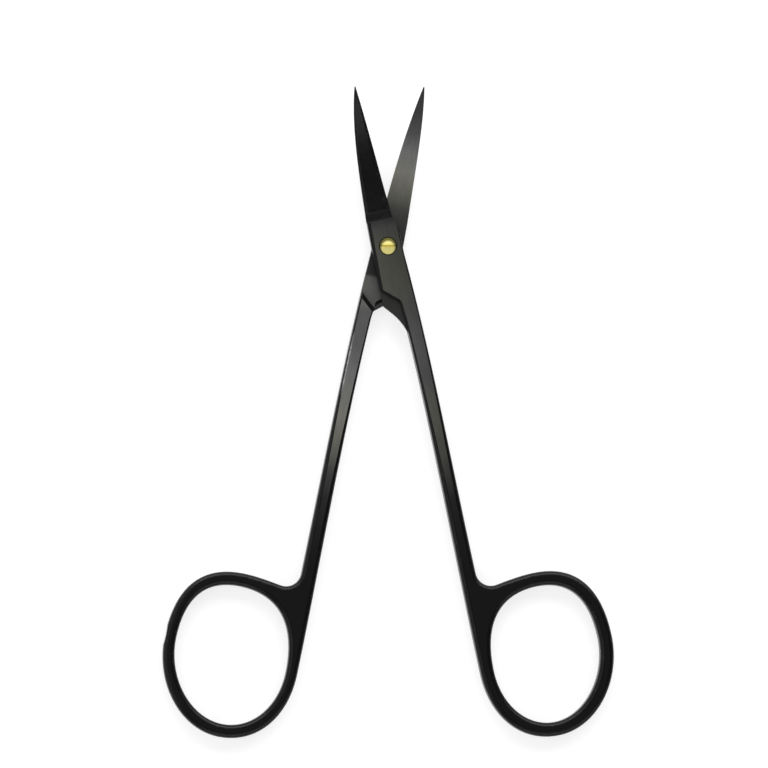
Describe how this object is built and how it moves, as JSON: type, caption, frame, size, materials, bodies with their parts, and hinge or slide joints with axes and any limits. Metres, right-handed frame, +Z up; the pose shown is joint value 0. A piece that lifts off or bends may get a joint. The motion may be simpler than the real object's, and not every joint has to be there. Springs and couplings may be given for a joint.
{
  "type": "gum scissors",
  "caption": "Fine black-coated ring-handled dental scissors with blades curved upward, half-lapped on a slotted gold pivot screw, shown open.",
  "frame": {"origin": "on the pivot axis, in the plane the scissors lie on", "axes": "+Z up out of the rest plane, along the pivot axis towards the slotted head; +Y towards the blade tips, midway between the two open halves; +X to the right when seen from above with the tips away"},
  "size_m": [0.0866, 0.1244, 0.0097],
  "materials": {
    "black_coated_steel": "satin black hard coating on forged stainless steel, brighter where light rakes the flats",
    "gold_screw": "bright gold-coloured screw, turned and polished, with a plain slot"
  },
  "bodies": {
    "lower": {"lower_half": "black_coated_steel", "pivot_screw": "gold_screw"},
    "upper": {"upper_half": "black_coated_steel"}
  },
  "joints": [
    {"name": "pivot", "type": "hinge", "parent": "lower", "child": "upper", "pos_m": [0, 0, 0.0022], "axis": [0, 0, 1], "range_deg": [-24.2, 46]}
  ]
}
